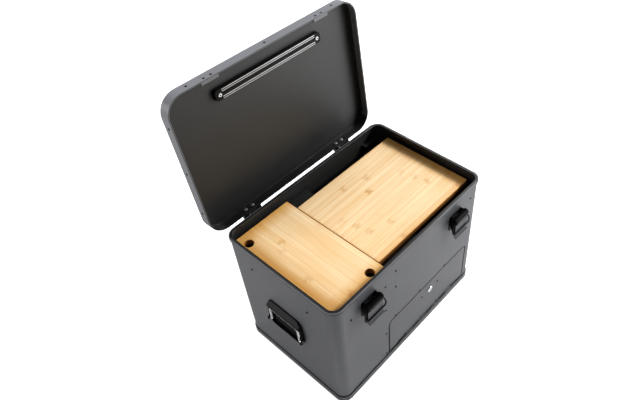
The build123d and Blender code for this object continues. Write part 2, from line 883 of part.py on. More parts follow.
def bail(centre):
    inner = cheek_half_gap + cheek_thickness + side_gap + 0.1
    legs = FilletPolyline(
        (-inner, 0, 0), (-bail_stub, 0, 0), (-bail_half_width, 0, -bail_length),
        (bail_half_width, 0, -bail_length), (bail_stub, 0, 0), (inner, 0, 0),
        radius=[bail_bend, bail_corner, bail_corner, bail_bend],
    )
    wire = sweep(Plane(origin=legs @ 0, z_dir=legs % 0) * Circle(bail_wire), path=legs)
    place = Pos(centre, out(bail_pivot_out), body_height - bail_pivot_drop)
    return place * Rot(-bail_rest_angle(), 0, 0) * wire


# ---- carrying handles, drawn on the right and mirrored -------------------------------------
def handle_plan(inset):
    height = handle_top - handle_bottom
    outline = RectangleRounded(2 * (handle_half_width - inset), height - 2 * inset, handle_corner - inset)
    return outline


def handle_place():
    middle = (handle_top + handle_bottom) / 2
    return Plane(origin=(face_x, 0, middle), x_dir=(0, 1, 0), z_dir=(1, 0, 0)).location


def handle_dish():
    plate = handle_place() * extrude(handle_plan(0), handle_plate)
    wall = handle_place() * extrude(handle_plan(0) - handle_plan(handle_wall), handle_depth)
    pivot_x = face_x + bow_pivot_out
    edge = handle_half_width - handle_wall
    for s in (-1, 1):
        wall += bar_y(pivot_x, bow_pivot_height, bow_boss, s * edge, s * handle_half_width)
    wall &= slab(face_x, face_x + 40, -handle_half_width, handle_half_width, handle_bottom, handle_top)
    ramp = Pos(0, -handle_half_width - 1, 0) * extrude(
        make_face(Polyline(
            (face_x + handle_depth + 1, 0, handle_wall_top - 1.0),
            (face_x + handle_depth, 0, handle_wall_top),
            (face_x + handle_plate, 0, handle_wall_top + handle_ramp),
            (face_x + handle_plate, 0, handle_top + 1),
            (face_x + handle_depth + 1, 0, handle_top + 1),
            close=True,
        )),
        2 * handle_half_width + 2,
        dir=(0, 1, 0),
    )
    dish = plate + (wall - ramp)
    room = bow_rod + spring_wire + 2 * side_gap
    above_plate = slab(face_x + handle_plate, 2 * face_x, -edge, edge, 0, handle_top)
    dish -= bar_y(pivot_x, bow_pivot_height, room, -edge, edge) & above_plate
    dish -= bar_y(pivot_x, bow_pivot_height, bow_rod + running_fit, -handle_half_width - 1, handle_half_width + 1)
    return dish - [place * Pos(0, 0, handle_plate) * bore(handle_plate) for place in handle_rivet_places(1)]


def at_bow_pivot(shape):
    return Pos(face_x + bow_pivot_out, 0, bow_pivot_height) * shape


def bow_rod_shape():
    end = handle_half_width - 0.3
    path = FilletPolyline(
        (0, -end, 0), (0, -bow_half_width, 0), (0, -bow_half_width, bow_rise),
        (0, bow_half_width, bow_rise), (0, bow_half_width, 0), (0, end, 0),
        radius=[4.4, bow_corner, bow_corner, 4.4],
    )
    return sweep(Plane(origin=path @ 0, z_dir=path % 0) * Circle(bow_rod), path=path)


def handle_bow():
    return at_bow_pivot(bow_rod_shape())


def handle_grip():
    """Wedge moulded over the bow, its crown running up to the plate's rounded outline."""
    back_face = handle_plate + side_gap - bow_pivot_out
    crown = handle_top - grip_inset - bow_pivot_height
    section = make_face(Polyline(
        (back_face, 0, bow_rise + 1.0),
        (back_face, 0, crown),
        (back_face + 0.8, 0, crown),
        (bow_rod + 0.8, 0, bow_rise + 7.0),
        (bow_rod + 0.9, 0, bow_rise + 4.5),
        (bow_rod - 0.4, 0, bow_rise - 1.5),
        close=True,
    ))
    wedge = Pos(0, -grip_half_length, 0) * extrude(section, 2 * grip_half_length, dir=(0, 1, 0))
    wedge = at_bow_pivot(wedge - bow_rod_shape())
    return wedge & handle_place() * extrude(handle_plan(grip_inset), 2 * handle_depth)


def handle_spring():
    """Short flat-wire torsion coil on the bow's stub, between its leg and the dish wall."""
    start = bow_half_width + bow_rod + side_gap
    height = handle_half_width - handle_wall - side_gap - spring_wire - start
    radius = bow_rod + spring_wire / 2 + side_gap
    coil = Helix(pitch=height / spring_turns, height=height, radius=radius)
    section = Plane(origin=coil @ 0, z_dir=coil % 0) * Rectangle(spring_wire, spring_wire)
    wire = sweep(section, path=coil, is_frenet=True)
    return at_bow_pivot(Pos(0, start + spring_wire / 2, 0) * Rot(-90, 0, 0) * wire)


def on_left(shape):
    return mirror(shape, about=Plane.YZ)


def handle_rivets():
    return group(
        place * Pos(0, 0, handle_plate) * rivet(handle_plate + sheet)
        for sign in (-1, 1)
        for place in handle_rivet_places(sign)
    )


# ---- flap, its hinge and lock --------------------------------------------------------------
def flap_axis():
    return out(flap_axis_out), flap_axis_height


def lock_bores():
    holes = [bar_y(lock_x, lock_height, lock_bore + running_fit, out(-6), out(3))]
    holes += [bar_y(x, lock_height, rivet_shank + running_fit, out(-6), out(3)) for x in lock_rivet_x]
    holes += [bar_y(x, flap_rivet_height, rivet_shank + running_fit, out(-6), out(3)) for x in flap_rivet_x]
    return holes


def front_flap():
    x0, x1 = flap_x
    skin = slab(x0, x1, out(0), out(-sheet), flap_bottom, flap_top)
    skin = fillet(skin.edges().filter_by(Axis.Y).group_by(Axis.Z)[-1], flap_corner)
    rib = sheet
    inside = out(-sheet - flap_return)
    clear_x = flap_corner + 1.0
    returns = slab(x0, x0 + rib, out(0), inside, flap_bottom + 10, flap_top - clear_x)
    returns += slab(x1 - rib, x1, out(0), inside, flap_bottom + 10, flap_top - clear_x)
    return skin + returns - lock_bores()


def knuckles(first):
    """Every other knuckle of the flap's piano hinge, from the first or the second on."""
    x0, x1 = flap_hinge_x
    pitch = (x1 - x0) / flap_hinge_knuckles
    return [
        (x0 + i * pitch + side_gap / 2, x0 + (i + 1) * pitch - side_gap / 2)
        for i in range(first, flap_hinge_knuckles, 2)
    ]


def barrel_run(first):
    y, z = flap_axis()
    return [bar_x(y, z, flap_barrel, a, b) for a, b in knuckles(first)]


def flap_hinge_leaf():
    """Leaf behind the flap's lower edge, with the odd knuckles."""
    y, z = flap_axis()
    x0, x1 = flap_hinge_x
    inner = out(-sheet)
    plate = slab(x0, x1, inner, inner + flap_leaf, flap_bottom, flap_rivet_height + 6)
    tongues = [
        along_x([(inner + flap_leaf, flap_bottom), (inner + flap_leaf, flap_bottom + 2), (inner, flap_bottom + 2),
                 (y, z + flap_barrel), (y, z + flap_barrel - 1.2), (inner, flap_bottom - 1.6)], a, b)
        for a, b in knuckles(1)
    ]
    leaf = plate + tongues + barrel_run(1)
    leaf -= bar_x(y, z, flap_pin + running_fit, x0, x1)
    return leaf - lock_bores() - front_flap()


def hinge_strip():
    """Fixed half of the piano hinge, bent over the lower edge of the opening."""
    y, z = flap_axis()
    x0, x1 = flap_hinge_x
    seat = base_height
    behind = out(-2 * sheet - 2 * slot_fit)
    foot = slab(x0, x1, y, behind + flap_leaf, seat + 0.1, seat + 0.1 + flap_leaf)
    down = slab(x0, x1, behind, behind + flap_leaf, seat - 12.0, seat + 0.1 + flap_leaf)
    tongues = [slab(a, b, y - 1.0, y + 1.0, seat + 0.1, z) for a, b in knuckles(0)]
    strip = foot + down + tongues + barrel_run(0)
    for a, b in knuckles(1):
        strip -= bar_x(y, z, flap_barrel + side_gap, a - side_gap / 2, b + side_gap / 2)
    return strip - bar_x(y, z, flap_pin + running_fit, x0 - 1, x1 + 1)


def flap_hinge_pin():
    y, z = flap_axis()
    return bar_x(y, z, flap_pin, *flap_hinge_x)


def flap_rivets():
    low = [front(x, flap_rivet_height) * rivet(sheet + flap_leaf) for x in flap_rivet_x]
    high = [front(x, lock_height) * rivet(sheet) for x in lock_rivet_x]
    return group(low + high)


def lock_body():
    """Threaded barrel with a flange outside the flap."""
    flange = bar_y(lock_x, lock_height, lock_radius, out(0), out(lock_proud))
    flange = chamfer(flange.faces().sort_by(Axis.Y)[0].edges(), 1.0)
    barrel = bar_y(lock_x, lock_height, lock_bore, out(0), out(-lock_length))
    plug = bar_y(lock_x, lock_height, lock_plug_radius + running_fit, out(lock_proud + 1), out(-lock_length - 1))
    return flange + barrel - plug


def lock_nut():
    place = facing(1, lock_x, out(-sheet), lock_height)
    return place * (extrude(RegularPolygon(11.5, 6), 3.0) - Cylinder(lock_bore + running_fit, 12))


def lock_plug():
    plug = bar_y(lock_x, lock_height, lock_plug_radius, out(lock_proud - 0.4), out(-lock_length - 0.3))
    plug += bar_y(lock_x, lock_height, 3.5, out(-lock_length), out(-lock_length - cam_sheet - 0.3))
    key = slab(lock_x - 0.6, lock_x + 0.6, out(lock_proud), out(-6), lock_height - 3.5, lock_height + 3.5)
    return plug - key


def lock_cam():
    """Tongue that lies level when unlocked and turns up behind the shelf's skirt."""
    near = out(-lock_length - 0.3)
    far = near + cam_sheet
    half = cam_width / 2
    tongue = slab(lock_x, lock_x + cam_length - half, near, far, lock_height - half, lock_height + half)
    tongue += bar_y(lock_x, lock_height, half, near, far)
    tongue += bar_y(lock_x + cam_length - half, lock_height, half, near, far)
    return tongue - bar_y(lock_x, lock_height, 3.5 + running_fit, near - 1, far + 1)


def lock_cam_nut():
    seat = out(-lock_length - 0.3 - cam_sheet)
    return bar_y(lock_x, lock_height, 5.5, seat, seat + 2.5)


# ---- build ---------------------------------------------------------------------------------
def fixed_parts():
    return {
        "body_shell": body_shell(),
        "floor_pan": floor_pan(),
        "rim_profile": rim_profile(),
        "base_profile": base_profile(),
        "divider_panel": divider_panel(),
        "left_ledge": left_ledge(),
        "right_ledge": right_ledge(),
        "front_ledge": front_ledge(),
        "cross_plate": cross_plate(),
        "compartment_shelf": compartment_shelf(),
        "divider_rivets": group(p * rivet(2 * sheet) for p in divider_rivet_places()),
        "shelf_rivets": group(p * rivet(2 * sheet) for p in shelf_rivet_places()),
        "ledge_screws": group(
            p * rivet(2 * sheet, ledge_screw_head, ledge_screw_dome, ledge_screw)
            for p in ledge_screw_places() + [cross_screw_place()]
        ),
        "hinge_brackets": hinge_brackets(),
        "hinge_pins": hinge_pins(),
        "hinge_rivets": hinge_rivets(),
        "left_latch_base": latch_base(-latch_x),
        "right_latch_base": latch_base(latch_x),
        "latch_pins": latch_pins(),
        "latch_rivets": latch_rivets(),
        "right_handle_dish": handle_dish(),
        "left_handle_dish": on_left(handle_dish()),
        "handle_rivets": handle_rivets(),
        "hinge_strip": hinge_strip(),
        "flap_hinge_pin": flap_hinge_pin(),
    }


def moving_parts():
    return {
        "small_board": small_board(),
        "large_board": large_board(),
        "left_latch_lever": lever(-latch_x),
        "right_latch_lever": lever(latch_x),
        "left_latch_bail": bail(-latch_x),
        "right_latch_bail": bail(latch_x),
        "right_handle_bow": handle_bow(),
        "left_handle_bow": on_left(handle_bow()),
        "right_handle_grip": handle_grip(),
        "left_handle_grip": on_left(handle_grip()),
        "right_handle_spring": handle_spring(),
        "left_handle_spring": on_left(handle_spring()),
        "front_flap": front_flap(),
        "flap_hinge_leaf": flap_hinge_leaf(),
        "flap_rivets": flap_rivets(),
        "lock_body": lock_body(),
        "lock_nut": lock_nut(),
        "lock_plug": lock_plug(),
        "lock_cam": lock_cam(),
        "lock_cam_nut": lock_cam_nut(),
    }


def lid_parts():
    return {
        "lid_shell": lid_shell(),
        "lid_edge_strip": lid_edge_strip(),
        "lid_rivets": lid_rivets(),
        "lid_hinge_leaves": lid_hinge_leaves(),
        "hinge_screws": hinge_screws(),
        "hinge_nuts": hinge_nuts(),
        "latch_catches": latch_catches(),
        "catch_rivets": catch_rivets(),
        "knife_bar": knife_bar(),
        "knife_rails": knife_rails(),
        "knife_bar_screws": knife_bar_screws(),
    }


def main():
    os.makedirs("parts", exist_ok=True)
    pieces = fixed_parts() | moving_parts()
    pieces |= {name: closed_to_open(shape) for name, shape in lid_parts().items()}
    for name, shape in pieces.items():
        export_step(shape, f"parts/{name}.step")


main()
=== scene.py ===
import math

import bpy
from mathutils import Matrix, Vector

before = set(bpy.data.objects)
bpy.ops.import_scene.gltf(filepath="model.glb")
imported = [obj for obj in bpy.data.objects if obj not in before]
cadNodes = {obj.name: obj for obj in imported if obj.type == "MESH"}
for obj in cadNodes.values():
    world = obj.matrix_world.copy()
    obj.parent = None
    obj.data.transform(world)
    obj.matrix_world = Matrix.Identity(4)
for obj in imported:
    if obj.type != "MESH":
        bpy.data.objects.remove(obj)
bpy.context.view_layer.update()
print("frame loaded,", len(cadNodes), "nodes")


# lowest and highest corner of a CAD piece, in its own space (m)
def nodeBox(name):
    sides = list(zip(*cadNodes[name].bound_box))
    return Vector(map(min, sides)), Vector(map(max, sides))


def addNode(tree, kind, **values):
    node = tree.nodes.new(kind)
    for name, value in values.items():
        setattr(node, name, value)
    return node


# a socket is linked, a plain value is set
def feed(tree, socket, value):
    if isinstance(value, bpy.types.NodeSocket):
        tree.links.new(value, socket)
    elif value is not None:
        socket.default_value = value


def calc(tree, operation, a, b=None, c=None, clamp=False):
    node = addNode(tree, "ShaderNodeMath", operation=operation, use_clamp=clamp)
    for socket, value in zip(node.inputs, (a, b, c)):
        feed(tree, socket, value)
    return node.outputs[0]


def product(tree, first, *others):
    for other in others:
        first = calc(tree, "MULTIPLY", first, other)
    return first


# turns a value from 0 to 1 into a swing of the given depth about a middle
def swing(tree, value, depth, middle=0.0):
    return calc(tree, "MULTIPLY_ADD", calc(tree, "SUBTRACT", value, 0.5), depth, middle)


def vectorCalc(tree, operation, a, b=None, scale=None):
    node = addNode(tree, "ShaderNodeVectorMath", operation=operation)
    feed(tree, node.inputs[0], a)
    feed(tree, node.inputs[1], b)
    if scale is not None:
        feed(tree, node.inputs["Scale"], scale)
    return node.outputs["Value" if operation in ("DOT_PRODUCT", "LENGTH") else "Vector"]


def axesOf(tree, vector):
    node = addNode(tree, "ShaderNodeSeparateXYZ")
    feed(tree, node.inputs[0], vector)
    return node.outputs


# low and high may stand either way round, so that a falling mask is written like a rising one
def remap(tree, value, low, high, outLow=0.0, outHigh=1.0, smooth=False):
    node = addNode(tree, "ShaderNodeMapRange", clamp=True)
    if smooth:
        node.interpolation_type = "SMOOTHSTEP"
    for socket, setting in zip(node.inputs, (value, low, high, outLow, outHigh)):
        feed(tree, socket, setting)
    return node.outputs[0]


def mixColour(tree, factor, a, b, blend="MIX"):
    node = addNode(tree, "ShaderNodeMix", data_type="RGBA", blend_type=blend)
    feed(tree, node.inputs[0], factor)
    for socket, colour in ((node.inputs[6], a), (node.inputs[7], b)):
        feed(tree, socket, colour if isinstance(colour, bpy.types.NodeSocket) else (*colour, 1))
    return node.outputs[2]


def noiseOf(tree, vector, scale=1.0, detail=2.0, roughness=0.5, distortion=0.0):
    node = addNode(tree, "ShaderNodeTexNoise")
    feed(tree, node.inputs["Vector"], vector)
    node.inputs["Scale"].default_value = scale
    node.inputs["Detail"].default_value = detail
    node.inputs["Roughness"].default_value = roughness
    node.inputs["Distortion"].default_value = distortion
    return node.outputs[0]


# noise that is drawn out by its own factor along each axis
def stretchedNoise(tree, vector, factors, **recipe):
    return noiseOf(tree, vectorCalc(tree, "MULTIPLY", vector, factors), **recipe)


# one in the open and less in a hollow
def hollowOf(tree, reach, samples=8):
    node = addNode(tree, "ShaderNodeAmbientOcclusion", samples=samples)
    node.inputs["Distance"].default_value = reach
    return node.outputs["AO"]


def newGroup(name, inputs, outputs):
    group = bpy.data.node_groups.new(name, "ShaderNodeTree")
    for label, kind, value in inputs:
        socket = group.interface.new_socket(label, in_out="INPUT", socket_type="NodeSocket" + kind)
        if value is not None:
            socket.default_value = value
    for label, kind in outputs:
        group.interface.new_socket(label, in_out="OUTPUT", socket_type="NodeSocket" + kind)
    start = addNode(group, "NodeGroupInput")
    end = addNode(group, "NodeGroupOutput")
    return group, start.outputs, end.inputs


def useGroup(tree, group, **values):
    node = addNode(tree, "ShaderNodeGroup", node_tree=group)
    for label, value in values.items():
        feed(tree, node.inputs[label], value)
    return node.outputs


# fine texture of a coat: relief, a soft cloudiness and matching gloss changes
coatGrainLook = dict(speck=dict(detail=2.0, roughness=0.6), cloud=dict(scale=9.0, detail=3.0, roughness=0.55),
                     speckShade=0.12, cloudGloss=0.10)


def makeCoatGrain(look):
    group, ins, outs = newGroup(
        "coatGrain",
        [("Vector", "Vector", None), ("Size", "Float", 0.0009), ("Cloud", "Float", 0.05)],
        [("Height", "Float"), ("Shade", "Float"), ("Gloss", "Float")],
    )
    fine = vectorCalc(group, "SCALE", ins["Vector"], scale=calc(group, "DIVIDE", 1.0, ins["Size"]))
    speck = noiseOf(group, fine, **look["speck"])
    cloud = noiseOf(group, ins["Vector"], **look["cloud"])
    feed(group, outs["Height"], speck)
    cloudShade = swing(group, cloud, ins["Cloud"], 1.0)
    feed(group, outs["Shade"], swing(group, speck, look["speckShade"], cloudShade))
    feed(group, outs["Gloss"], swing(group, cloud, look["cloudGloss"]))
    return group


# where an edge has been rubbed: a narrow mask along corners, broken up by noise
edgeWearLook = dict(bendRange=(0.995, 0.80), patches=dict(scale=55.0, detail=4.0, roughness=0.65),
                    patchRange=(0.42, 0.68))


def makeEdgeWear(look):
    group, ins, outs = newGroup(
        "edgeWear",
        [("Vector", "Vector", None), ("Radius", "Float", 0.001), ("Amount", "Float", 0.5)],
        [("Mask", "Float"), ("Normal", "Vector")],
    )
    rounded = addNode(group, "ShaderNodeBevel", samples=4)
    feed(group, rounded.inputs["Radius"], ins["Radius"])
    surface = addNode(group, "ShaderNodeNewGeometry")
    bend = vectorCalc(group, "DOT_PRODUCT", rounded.outputs[0], surface.outputs["Normal"])
    corner = remap(group, bend, *look["bendRange"], smooth=True)
    patches = noiseOf(group, ins["Vector"], **look["patches"])
    patchy = remap(group, patches, *look["patchRange"])
    feed(group, outs["Mask"], product(group, corner, patchy, ins["Amount"]))
    feed(group, outs["Normal"], rounded.outputs[0])
    return group


# thin dust that settles on faces that look up
dustFilmLook = dict(levelRange=(0.35, 1.0), spots=dict(scale=38.0, detail=5.0, roughness=0.7),
                    spotRange=(0.40, 0.75))


def makeDustFilm(look):
    group, ins, outs = newGroup(
        "dustFilm",
        [("Vector", "Vector", None), ("Amount", "Float", 0.05)],
        [("Mask", "Float")],
    )
    surface = addNode(group, "ShaderNodeNewGeometry")
    upward = remap(group, axesOf(group, surface.outputs["Normal"])["Z"], *look["levelRange"])
    spots = remap(group, noiseOf(group, ins["Vector"], **look["spots"]), *look["spotRange"])
    feed(group, outs["Mask"], product(group, upward, spots, ins["Amount"]))
    return group


# brushed lines, drawn out by whatever stretches the vector that goes in
brushingLook = dict(lines=dict(detail=3.0, roughness=0.6), gloss=0.16)


def makeBrushing(look):
    group, ins, outs = newGroup(
        "brushing",
        [("Vector", "Vector", None)],
        [("Height", "Float"), ("Gloss", "Float")],
    )
    lines = noiseOf(group, ins["Vector"], **look["lines"])
    feed(group, outs["Height"], lines)
    feed(group, outs["Gloss"], swing(group, lines, look["gloss"]))
    return group


coatGrain = makeCoatGrain(coatGrainLook)
edgeWear = makeEdgeWear(edgeWearLook)
dustFilm = makeDustFilm(dustFilmLook)
brushing = makeBrushing(brushingLook)
print("shared effects made: coat grain, edge wear, dust film, brushing")


def startMaterial(name):
    material = bpy.data.materials.new(name)
    material.use_nodes = True
    tree = material.node_tree
    shader = tree.nodes["Principled BSDF"]
    where = addNode(tree, "ShaderNodeTexCoord").outputs["Object"]
    return material, tree, shader, where


def bumpOf(tree, height, distance, normal):
    node = addNode(tree, "ShaderNodeBump")
    node.inputs["Distance"].default_value = distance
    feed(tree, node.inputs["Height"], height)
    feed(tree, node.inputs["Normal"], normal)
    return node.outputs[0]


def facingOf(tree):
    return axesOf(tree, addNode(tree, "ShaderNodeTexCoord").outputs["Normal"])


# how far a face turns before its painted light or shade sets in, from not at all to fully
turns = dict(front=(-0.85, -0.95), up=(0.75, 0.95), side=(0.7, 0.5), awayFromEnds=(0.6, 0.3),
             inwards=(0.0, -0.03))


# painted shade on faces that look into the box or, with a middle height given, into the hollow of the open
# lid
def insideShadeMask(tree, facing, place, middle):
    if middle is None:
        across = product(tree, facing["Y"], place["Y"])
    else:
        across = product(tree, facing["Z"], calc(tree, "SUBTRACT", place["Z"], middle))
    outward = calc(tree, "ADD", product(tree, facing["X"], place["X"]), across)
    return remap(tree, outward, *turns["inwards"])


# painted shade on the flap's cut sides and on the folds along its left and top edges, which lie in shade (m)
flapSeamShade = dict(leftWidth=0.0023, topWidth=0.0024, fade=0.0004)
flapLow, flapHigh = nodeBox("front_flap")


def foldMask(tree, facing, place, fold):
    side = remap(tree, calc(tree, "ABSOLUTE", facing["Y"]), *turns["side"])
    left = flapLow.x + fold["leftWidth"]
    top = flapHigh.z - fold["topWidth"]
    side = calc(tree, "MAXIMUM", side, remap(tree, place["X"], left, left - fold["fade"]))
    return calc(tree, "MAXIMUM", side, remap(tree, place["Z"], top, top + fold["fade"]))


# painted highlight along the rim's outline and painted shade in the groove below it: depths from the rim's
# top, the line's width from its outline (m). The strip of the open lid lies outside and above, and so takes
# the painted highlight too.
rimLightAndShade = dict(corner=0.031, lineWidth=0.0030, lineFade=0.0004, lineDepth=0.0029, depthFade=0.0003,
               grooveDepth=0.0042, grooveHalf=0.0009, grooveCore=0.6)
rimHigh = nodeBox("rim_profile")[1]


def rimHighlightMask(tree, where, place, edge):
    flat = vectorCalc(tree, "MULTIPLY", where, (1.0, 1.0, 0.0))
    core = (rimHigh.x - edge["corner"], rimHigh.y - edge["corner"], 0.0)
    over = vectorCalc(tree, "SUBTRACT", vectorCalc(tree, "ABSOLUTE", flat), core)
    outside = vectorCalc(tree, "LENGTH", vectorCalc(tree, "MAXIMUM", over, (0.0, 0.0, 0.0)))
    inner = edge["corner"] - edge["lineWidth"]
    lowest = rimHigh.z - edge["lineDepth"]
    return product(tree, remap(tree, outside, inner, inner + edge["lineFade"]),
                   remap(tree, place["Z"], lowest - edge["depthFade"], lowest))


def rimGrooveShadeMask(tree, place, edge):
    away = calc(tree, "ABSOLUTE", calc(tree, "SUBTRACT", place["Z"], rimHigh.z - edge["grooveDepth"]))
    return remap(tree, away, edge["grooveHalf"], edge["grooveHalf"] * edge["grooveCore"])


# painted shade on the grip's lower edge, which makes it darker than the slope above it (m)
gripLipShade = dict(height=0.0130, fade=0.0004)
gripLow = nodeBox("left_handle_grip")[0]


def lipShadeMask(tree, place, lip):
    edge = gripLow.z + lip["height"]
    return remap(tree, place["Z"], edge, edge - lip["fade"])


# painted reflection on the lever's flat face, which makes it lighter than its barrel: it starts this far
# below the lever's top and lies less than this far behind its foremost edge (m)
leverFaceReflection = dict(below=0.0228, behind=0.00565, fade=0.0005)
leverLow, leverHigh = nodeBox("left_latch_lever")


def leverReflectionMask(tree, facing, place, face):
    top = leverHigh.z - face["below"]
    front = leverLow.y + face["behind"]
    low = remap(tree, place["Z"], top, top - face["fade"])
    outer = remap(tree, place["Y"], front + face["fade"], front)
    flat = remap(tree, calc(tree, "ABSOLUTE", facing["X"]), *turns["awayFromEnds"])
    return product(tree, low, outer, flat)


# what every coat shares: painted shade in crevices (m) and the tone of dust
coatBasics = dict(creviceReach=0.006, creviceRange=(0.50, 0.92), creviceShade=0.08,
                  dustColour=(0.42, 0.40, 0.37), dustDulls=0.4)


# a look's painted light and shade, where it has them, each with the mask of its place
def paintedLightAndShadeOf(tree, where, look):
    facing, place = facingOf(tree), axesOf(tree, where)
    # painted shade on faces that look to the front, and a painted tone, lighter or darker, on faces that look
    # up
    if "frontShade" in look:
        yield remap(tree, facing["Y"], *turns["front"]), look["frontShade"]
    if "paintedTopTone" in look:
        yield remap(tree, facing["Z"], *turns["up"]), look["paintedTopTone"]
    # painted shade on faces that look inwards
    if "inside" in look:
        yield insideShadeMask(tree, facing, place, look.get("hollowMiddle")), look["inside"]
    # painted shade along the flap's seam
    if "fold" in look:
        yield foldMask(tree, facing, place, flapSeamShade), look["fold"]
    # a painted highlight along the rim's outline and painted shade in its groove
    if "rimHighlight" in look:
        yield rimHighlightMask(tree, where, place, rimLightAndShade), look["rimHighlight"]
        yield rimGrooveShadeMask(tree, place, rimLightAndShade), look["paintedTopTone"]
    # painted shade on the grip's lower edge and a painted reflection on the lever's face
    if "lip" in look:
        yield lipShadeMask(tree, place, gripLipShade), look["lip"]
    if "leverFaceReflection" in look:
        yield leverReflectionMask(tree, facing, place, leverFaceReflection), look["leverFaceReflection"]


def makeCoat(name, look):
    material, tree, shader, where = startMaterial(name)
    basics = coatBasics
    grain = useGroup(tree, coatGrain, Vector=where, Size=look["grain"], Cloud=look["cloud"])
    wear = useGroup(tree, edgeWear, Vector=where, Radius=look["edge"], Amount=look["wear"])
    dust = useGroup(tree, dustFilm, Vector=where, Amount=look["dust"])
    paint = addNode(tree, "ShaderNodeRGB").outputs[0]
    paint.default_value = (*look["colour"], 1)
    for mask, tone in paintedLightAndShadeOf(tree, where, look):
        paint = mixColour(tree, mask, paint, tone)
    # painted shade in crevices, from how closed in each point is
    hollow = hollowOf(tree, basics["creviceReach"])
    paintedCreviceShade = remap(tree, hollow, *basics["creviceRange"], outLow=basics["creviceShade"])
    tint = vectorCalc(tree, "SCALE", paint, scale=product(tree, grain["Shade"], paintedCreviceShade))
    rubbed = mixColour(tree, wear["Mask"], tint, look["wornColour"])
    feed(tree, shader.inputs["Base Color"], mixColour(tree, dust["Mask"], rubbed, basics["dustColour"]))
    rough = calc(tree, "ADD", grain["Gloss"], look["rough"])
    dulled = calc(tree, "MULTIPLY_ADD", dust["Mask"], basics["dustDulls"], rough, clamp=True)
    feed(tree, shader.inputs["Roughness"], dulled)
    shader.inputs["Specular IOR Level"].default_value = look.get("shine", 0.5)
    feed(tree, shader.inputs["Normal"], bumpOf(tree, grain["Height"], look["relief"], wear["Normal"]))
    return material


# colours are linear and lengths in m: grain is the size of the texture, edge the width that gets rubbed
lidLow, lidHigh = nodeBox("lid_shell")
latchCoat = dict(colour=(0.0008, 0.0008, 0.0009), rough=0.30, grain=0.0006, relief=0.000012, cloud=0.08,
                 edge=0.0006, wear=0.06, wornColour=(0.05, 0.05, 0.055), dust=0.0, shine=0.03)
wallSheet = dict(colour=(0.0410, 0.0427, 0.0482), rough=0.40, grain=0.0009, relief=0.00003, cloud=0.14,
                 edge=0.0008, wornColour=(0.12, 0.12, 0.125), dust=0.03)
coats = {
    # painted shade on the walls' inner faces
    "wallCoat": dict(wallSheet, wear=0.15, inside=(0.014, 0.0135, 0.0130)),
    # painted shade on the flap's cut sides and edge folds
    "flapCoat": dict(wallSheet, wear=0.0, fold=(0.002, 0.002, 0.002)),
    # the lid: painted light on the band that looks up, painted shade on the panel that looks to the front and
    # on the faces into its hollow
    "lidCoat": dict(colour=(0.0880, 0.0900, 0.1000), rough=0.42, grain=0.0009, relief=0.00003, cloud=0.12,
                    edge=0.0008, wear=0.15, wornColour=(0.12, 0.12, 0.125), dust=0.02,
                    frontShade=(0.0098, 0.0098, 0.0095), paintedTopTone=(0.260, 0.267, 0.290),
                    inside=(0.010, 0.010, 0.0103), hollowMiddle=(lidLow.z + lidHigh.z) / 2, shine=0.35),
    # the rim: painted shade on its top, its inner faces and its groove, and a painted highlight along its
    # outline
    "profileCoat": dict(colour=(0.031, 0.032, 0.035), rough=0.36, grain=0.0007, relief=0.00002, cloud=0.10,
                        edge=0.0009, wear=0.9, wornColour=(0.17, 0.17, 0.175), dust=0.0,
                        paintedTopTone=(0.007, 0.007, 0.008), inside=(0.012, 0.012, 0.012), shine=0.3,
                        rimHighlight=(0.110, 0.112, 0.118)),
    "innerCoat": dict(colour=(0.010, 0.010, 0.010), rough=0.42, grain=0.0009, relief=0.00003, cloud=0.12,
                      edge=0.0006, wear=0.15, wornColour=(0.07, 0.07, 0.07), dust=0.01, shine=0.3),
    "catchCoat": dict(colour=(0.080, 0.081, 0.085), rough=0.42, grain=0.0009, relief=0.00003, cloud=0.12,
                      edge=0.0005, wear=0.15, wornColour=(0.15, 0.15, 0.15), dust=0.01),
    "rivetBlack": dict(colour=(0.002, 0.002, 0.002), rough=0.50, grain=0.0005, relief=0.00001, cloud=0.1,
                       edge=0.0003, wear=0.10, wornColour=(0.04, 0.04, 0.04), dust=0.0, shine=0.08),
    "latchBlack": latchCoat,
    # painted reflection on the lever's flat face
    "leverBlack": dict(latchCoat, leverFaceReflection=(0.070, 0.071, 0.076)),
    "dishBlack": dict(colour=(0.002, 0.002, 0.002), rough=0.50, grain=0.0006, relief=0.000012, cloud=0.08,
                      edge=0.0006, wear=0.15, wornColour=(0.04, 0.04, 0.045), dust=0.0, shine=0.05),
    "wireBlack": dict(colour=(0.002, 0.002, 0.002), rough=0.36, grain=0.0006, relief=0.000008, cloud=0.08,
                      edge=0.0003, wear=0.15, wornColour=(0.05, 0.05, 0.05), dust=0.0, shine=0.10),
    # painted shade on the grip's lower edge
    "gripRubber": dict(colour=(0.009, 0.009, 0.0095), rough=0.50, grain=0.0008, relief=0.00004, cloud=0.10,
                       edge=0.0008, wear=0.15, wornColour=(0.04, 0.04, 0.04), dust=0.01, shine=0.15,
                       lip=(0.0030, 0.0030, 0.0030)),
    "barPlastic": dict(colour=(0.0025, 0.0025, 0.0025), rough=0.42, grain=0.0007, relief=0.000015, cloud=0.08,
                       edge=0.0005, wear=0.15, wornColour=(0.05, 0.05, 0.05), dust=0.0, shine=0.08),
}


# what every metal shares: rubbed corners, painted shade in crevices and holes, and patches of tarnish
metalBasics = dict(wear=0.6, wornColour=(0.85, 0.85, 0.85), creviceRange=(0.80, 0.50),
                   creviceShadeColour=(0.01, 0.01, 0.01), holeShade=(0.006, 0.006, 0.006), socketFade=0.0003,
                   patches=dict(scale=60.0, detail=3.0, roughness=0.6), patchRange=(0.35, 0.75))


